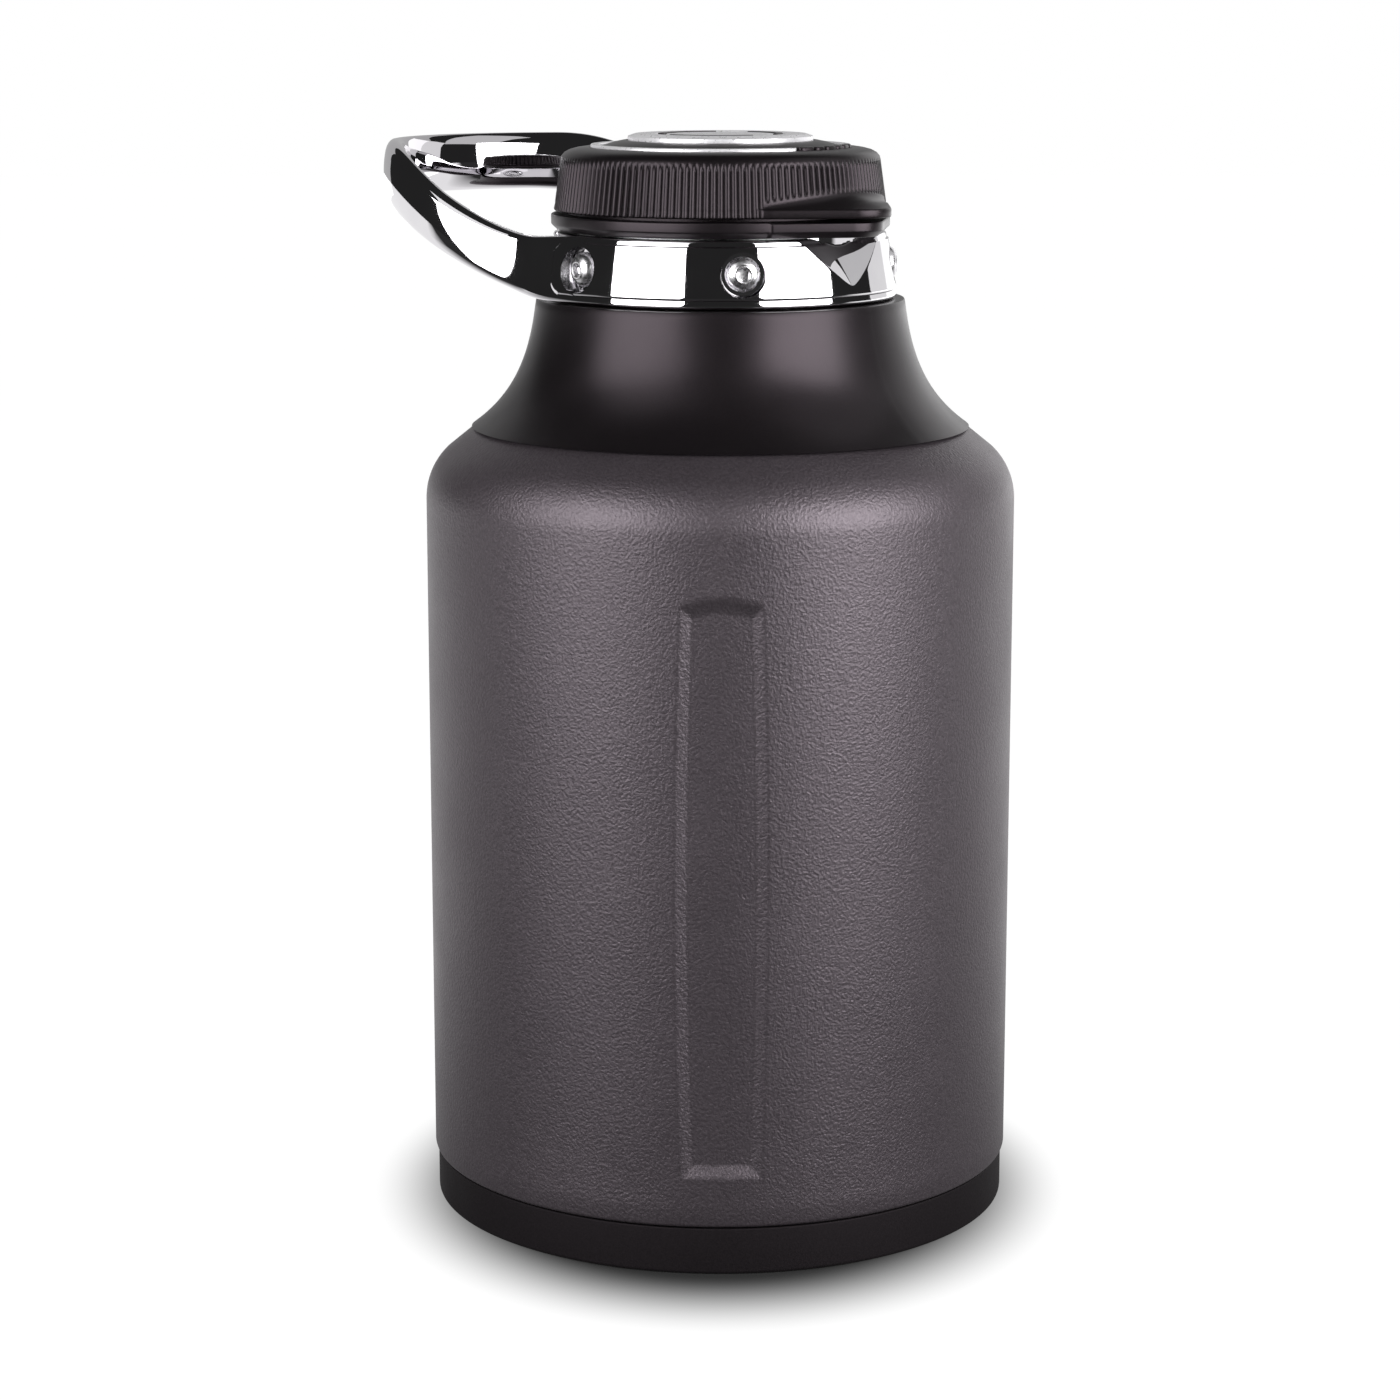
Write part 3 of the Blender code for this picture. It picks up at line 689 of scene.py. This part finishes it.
def tab_radius(degrees, ring_r, reach):
    """Radius of a ring joined to a round tip at +X by two tangents."""
    centre = reach - TAB_TIP_R
    lean = math.acos((ring_r - TAB_TIP_R) / centre)
    a = abs(math.radians(around(degrees, 0)))
    if a >= lean:
        return ring_r
    tip = math.atan2(TAB_TIP_R * math.sin(lean), centre + TAB_TIP_R * math.cos(lean))
    if a >= tip:
        return ring_r / math.cos(a - lean)
    return centre * math.cos(a) + math.sqrt(TAB_TIP_R**2 - (centre * math.sin(a)) ** 2)


def make_base_ring():
    low, high, radius = BASE_LOW, BASE_HIGH, BASE_R
    outline = [(41.1, low), (41.1, 279.2), (42.1, 279.2), (42.1, high), (radius, high)]
    outline += [(radius, low + 1.6), (radius - 1.7, low)]
    outline = refine(fillet(outline, [0.2, 0.1, 0.1, 0.1, 0.45, 0.7, 0.35], steps=5), 1.2)

    def tab(r, z, degrees):
        grown = tab_radius(degrees, radius + 0.45, BASE_TAB_REACH) - radius
        outer = smoothstep((r - 43.2) / 1.2)
        edge = float(smoothstep((31.5 - abs(around(degrees, 0))) / 0.8))
        return r + grown * outer * edge, z - 0.25 * outer * edge * (z > low + 2)

    angles = angles_with([(-33, 33, 0.5)], 2.0)
    made = revolve("lower_cap_ring", outline, "lower_ring", angles, tab)
    dress(made, "black_plastic", "base_ring")


def make_grip_ring():
    ribs_high, rim_high = 293.0, GRIP_LOW + 2.5
    wall_low, wall_high = GRIP_R, 43.95

    def wall_r(z):
        return wall_low + (wall_high - wall_low) * (z - GRIP_LOW) / (ribs_high - GRIP_LOW)

    dome = [(43.7, 293.9), (42.9, 294.8), (41.6, 295.5), (39.9, 295.95), (38.2, 296.2)]
    dome += [(36.6, 296.3), (36.15, 296.25), (36.0, 295.9), (33.4, 295.9), (33.25, 296.35)]
    dome += [(32.6, 296.5), (31.2, 297.0), (29.2, 297.6), (27.2, 298.0), (26.2, 298.1)]
    dome += [(25.9, 297.7)]
    dome += [(12.0, 297.7), (0.0, 297.7)]
    inner = [(0.0, 295.0), (20.0, 294.8), (36.0, 294.2), (40.0, 293.3)]
    inner += [(42.5, 292.8), (42.5, GRIP_LOW)]
    count = RIBS * 8
    points = []
    for i in range(count):
        degrees = i * 360 / count - 180
        near, tab_side = abs(degrees), 33.0
        hull = tab_radius(degrees, GRIP_R, GRIP_TAB_REACH)
        rib_low = 285.1 - 0.0021 * min(near, tab_side) ** 2
        valley = (0.5 + 0.5 * math.cos(math.radians(degrees) * RIBS)) ** 2.2
        column = list(inner)
        tab = float(smoothstep((hull - GRIP_R) / 1.0))
        rim = wall_r(rim_high) * (1 - tab) + hull * tab
        foot = wall_r(GRIP_LOW) * (1 - tab) + hull * tab
        column += [(foot - 0.45, GRIP_LOW), (foot - 0.12, GRIP_LOW + 0.12)]
        column += [(foot, GRIP_LOW + 0.45), ((foot + rim) / 2, GRIP_LOW + 1.2)]
        column += [(rim, rim_high - 0.5)]
        column += [(rim - 0.13 * tab, rim_high - 0.15), (rim - 0.45 * tab, rim_high)]
        for k in range(1, 11):
            t = k / 10 * math.pi / 2
            z = rim_high + (rib_low - rim_high) * (1 - math.cos(t))
            reach = rim - 0.45 * tab - wall_r(rim_high)
            column.append((wall_r(z) + reach * (1 - math.sin(t)), z))
        for k in range(0, 13):
            z = rib_low + 0.25 + (ribs_high - 0.25 - rib_low) * k / 12
            column.append((wall_r(z), z))
        column = np.array(column + dome)
        r, z = column[:, 0], column[:, 1]
        ribbed_from = rib_low + 0.3 if near < tab_side else GRIP_LOW - 5
        strength = smoothstep((z - ribbed_from) / 0.5) * smoothstep((293.1 - z) / 0.7)
        outer = (np.arange(len(r)) >= len(inner)) & (r > 43)
        r = r - 0.62 * valley * strength * outer
        a = math.radians(degrees)
        points.append(np.stack([r * math.cos(a), r * math.sin(a), z], -1))
    faces = tube_faces(count, len(points[0]))
    made = mesh_piece("ribbed_grip", np.concatenate(points), faces, "cap", sharp=60)
    dress(made, "black_plastic", "grip_ring")


def arc_bar(name, inner, outer, start, end, low, high, edge):
    """A bar bent round the axis, with rounded edges and rounded ends."""
    middle, half = (inner + outer) / 2, (outer - inner) / 2
    stations = []
    length = math.radians(end - start) * middle
    steps = max(int(length / 1.2), 4)
    quarter = [math.pi / 2 * k / 8 for k in range(1, 9)]
    along = [(-half * math.cos(turn), math.sin(turn)) for turn in quarter]
    offsets = list(along)
    offsets += [(length * k / steps, 1.0) for k in range(1, steps)]
    offsets += [(length - s, w) for s, w in along[::-1]]
    for s, w in offsets:
        wide = half * w
        e = min(edge, wide * 0.6)
        corners = [(-wide, low), (wide, low), (wide, high), (-wide, high)]
        section = fillet(corners, [0, 0, e, e], steps=4)
        a = math.radians(start) + s / middle
        for r, z in section:
            stations.append(((middle + r) * math.cos(a), (middle + r) * math.sin(a), z))
    across = len(stations) // len(offsets)
    return mesh_piece(name, stations, tube_faces(len(offsets), across, closed=False), "cap")


def make_cap_top():
    arc = arc_bar("arc_trim", 33.6, 35.8, 43, 346, 296.0, 297.05, 0.5)
    dress(arc, "silver_trim", "arc_inlay")
    for number, degrees in enumerate((-6.5, 1.5, 9.5, 17.5, 25.5, 33.5), 1):
        wide = 2.1 if number % 2 else 1.2
        ends = (degrees - wide, degrees + wide)
        pip = arc_bar(f"cap_pip_{number}", 33.4, 36.0, *ends, 295.7, 297.2, 0.5)
        dress(pip, "black_plastic")
    disc = [(0.0, 297.75), (0.0, 299.75), (14.8, 299.75), (15.1, 299.35), (17.6, 299.35)]
    disc += [(17.9, 299.85), (23.6, 299.85), (25.5, 299.2), (25.5, 297.75)]
    outline = refine(fillet(disc, [0, 0, 0.2, 0.1, 0.1, 0.2, 0.6, 0.25, 0.1], steps=4), 3.0)
    badge = revolve("cap_disc", outline, "cap", np.arange(-180, 180, 2.0))
    dress(badge, "silver_trim", "centre_badge")
    for number, start in enumerate((20, 140, 260), 1):
        mark = arc_bar(f"disc_mark_{number}", 15.5, 17.2, start, start + 82, 299.3, 299.95, 0.2)
        dress(mark, "black_plastic")


make_body()
make_shroud()
make_mouth()
make_casting()
make_screws()
make_base_ring()
make_grip_ring()
make_cap_top()

CAD_FINISH = {
    "inner_vessel": STEEL_FINISH,
    "outer_base_pan": STEEL_FINISH,
    "vacuum_seal_cap": STEEL_FINISH,
    "stopper_clip": STEEL_FINISH,
    "shroud_spacer": BOOT,
    "collar_liner": BLACK,
    "stopper_body": BLACK,
    "stopper_cover": BLACK,
    "thread_sleeve": BLACK,
    "insulation_puck": FOAM,
    "lip_gasket": SEAL,
}
for node, finish in CAD_FINISH.items():
    NODES[node].data.materials.clear()
    NODES[node].data.materials.append(finish)


# ------------------------------------------------------------------ stage


FLOOR_RADIUS, AIM_HEIGHT = 6.0, 0.15
# Where the shadow painted into the floor's glow starts and ends, and how much narrower it is
# across.
SHADOW_EDGE, SHADOW_END, SHADOW_NARROWING = 0.082, 0.128, 1.25


def toward(nodes, links, where, degrees, scale=1.0):
    """How far a point lies in a level direction."""
    dot = nodes.new("ShaderNodeVectorMath")
    dot.operation = "DOT_PRODUCT"
    a = math.radians(degrees)
    dot.inputs[1].default_value = (scale * math.cos(a), scale * math.sin(a), 0)
    links.new(where.outputs["Object"], dot.inputs[0])
    return dot.outputs["Value"]


def make_floor():
    shape = bmesh.new()
    bmesh.ops.create_circle(shape, cap_ends=True, segments=96, radius=FLOOR_RADIUS)
    mesh = bpy.data.meshes.new("studio_floor")
    shape.to_mesh(mesh)
    shape.free()
    floor = bpy.data.objects.new("studio_floor", mesh)
    bpy.context.scene.collection.objects.link(floor)
    made, nodes, links, shader = material("studio_floor", (0.03, 0.03, 0.03), 0.9)
    shader.inputs["Specular IOR Level"].default_value = 0.0
    shader.inputs["Emission Color"].default_value = (1, 1, 1, 1)
    where = nodes.new("ShaderNodeTexCoord")
    # A soft contact shadow is painted into the floor's glow rather than cast: the glow fades out
    # round the foot. The painted shadow is longer towards the camera than across.
    ahead = toward(nodes, links, where, CAMERA_SIDE)
    across = toward(nodes, links, where, CAMERA_SIDE + 90, SHADOW_NARROWING)
    both, far = nodes.new("ShaderNodeCombineXYZ"), nodes.new("ShaderNodeVectorMath")
    far.operation = "LENGTH"
    links.new(ahead, both.inputs["X"])
    links.new(across, both.inputs["Y"])
    links.new(both.outputs["Vector"], far.inputs[0])
    # The glow rises from nothing at the foot to full further out, which paints the contact shadow.
    glow_with_painted_shadow = spread(nodes, links, far.outputs["Value"], 0.0, 1.0, SHADOW_EDGE, SHADOW_END)
    glow_with_painted_shadow.node.interpolation_type = "SMOOTHSTEP"
    links.new(glow_with_painted_shadow, shader.inputs["Emission Strength"])
    # In reflections and for light that bounces, the floor is dark in front and pale behind.
    mirrored = nodes.new("ShaderNodeEmission")
    shade = spread(nodes, links, ahead, 1.0, 0.03, -0.25, 0.1)
    links.new(shade, mirrored.inputs["Strength"])
    path, mix = nodes.new("ShaderNodeLightPath"), nodes.new("ShaderNodeMixShader")
    links.new(path.outputs["Is Camera Ray"], mix.inputs["Fac"])
    links.new(mirrored.outputs["Emission"], mix.inputs[1])
    links.new(shader.outputs["BSDF"], mix.inputs[2])
    links.new(mix.outputs["Shader"], nodes["Material Output"].inputs["Surface"])
    mesh.materials.append(made)


def panel_light(name, side, distance, height, wide, tall, radiance):
    """A soft rectangular light that faces the bottle. side is degrees from the camera's."""
    data = bpy.data.lights.new(name, "AREA")
    data.shape = "RECTANGLE"
    data.size, data.size_y = wide, tall
    data.energy = radiance * wide * tall * math.pi
    light = bpy.data.objects.new(name, data)
    a = math.radians(CAMERA_SIDE + side)
    light.location = (distance * math.cos(a), distance * math.sin(a), height)
    aim = Vector((0, 0, AIM_HEIGHT)) - light.location
    light.rotation_euler = aim.to_track_quat("-Z", "Y").to_euler()
    light.visible_camera = False
    bpy.context.scene.collection.objects.link(light)


def make_lights():
    panel_light("left_panel", -49, 0.95, 0.42, 0.9, 0.72, 5.7)
    panel_light("right_panel", 51, 0.95, 0.42, 0.9, 0.72, 7.2)
    panel_light("left_upper_panel", -49, 1.05, 1.16, 0.9, 0.6, 1.0)
    panel_light("right_upper_panel", 86, 1.05, 1.3, 1.3, 1.2, 0.6)
    panel_light("back_panel", 180, 1.6, 0.7, 3.0, 1.4, 0.45)
    panel_light("right_side_panel", 139, 1.15, 0.42, 1.1, 0.8, 0.85)


def make_world():
    world = bpy.data.worlds.new("studio")
    bpy.context.scene.world = world
    world.use_nodes = True
    nodes, links = world.node_tree.nodes, world.node_tree.links
    nodes.clear()
    path = nodes.new("ShaderNodeLightPath")
    colours = []
    for strength in (0.08, 0.02, 1.0):
        shade = nodes.new("ShaderNodeBackground")
        shade.inputs["Color"].default_value = (1, 1, 1, 1)
        shade.inputs["Strength"].default_value = strength
        colours.append(shade.outputs["Background"])
    glossy, seen = nodes.new("ShaderNodeMixShader"), nodes.new("ShaderNodeMixShader")
    links.new(path.outputs["Is Glossy Ray"], glossy.inputs["Fac"])
    links.new(colours[0], glossy.inputs[1])
    links.new(colours[1], glossy.inputs[2])
    links.new(path.outputs["Is Camera Ray"], seen.inputs["Fac"])
    links.new(glossy.outputs["Shader"], seen.inputs[1])
    links.new(colours[2], seen.inputs[2])
    out = nodes.new("ShaderNodeOutputWorld")
    links.new(seen.outputs["Shader"], out.inputs["Surface"])


def make_camera():
    data = bpy.data.cameras.new("camera")
    data.sensor_width = 36.0
    data.lens = 91.36
    data.clip_end = 50
    camera = bpy.data.objects.new("camera", data)
    camera.location = (0.6690, -0.7257, 0.3363)
    camera.rotation_euler = (math.radians(78.822), 0, math.radians(43.0))
    bpy.context.scene.collection.objects.link(camera)
    bpy.context.scene.camera = camera
    bpy.context.scene.view_settings.view_transform = "Standard"


make_floor()
make_lights()
make_world()
make_camera()
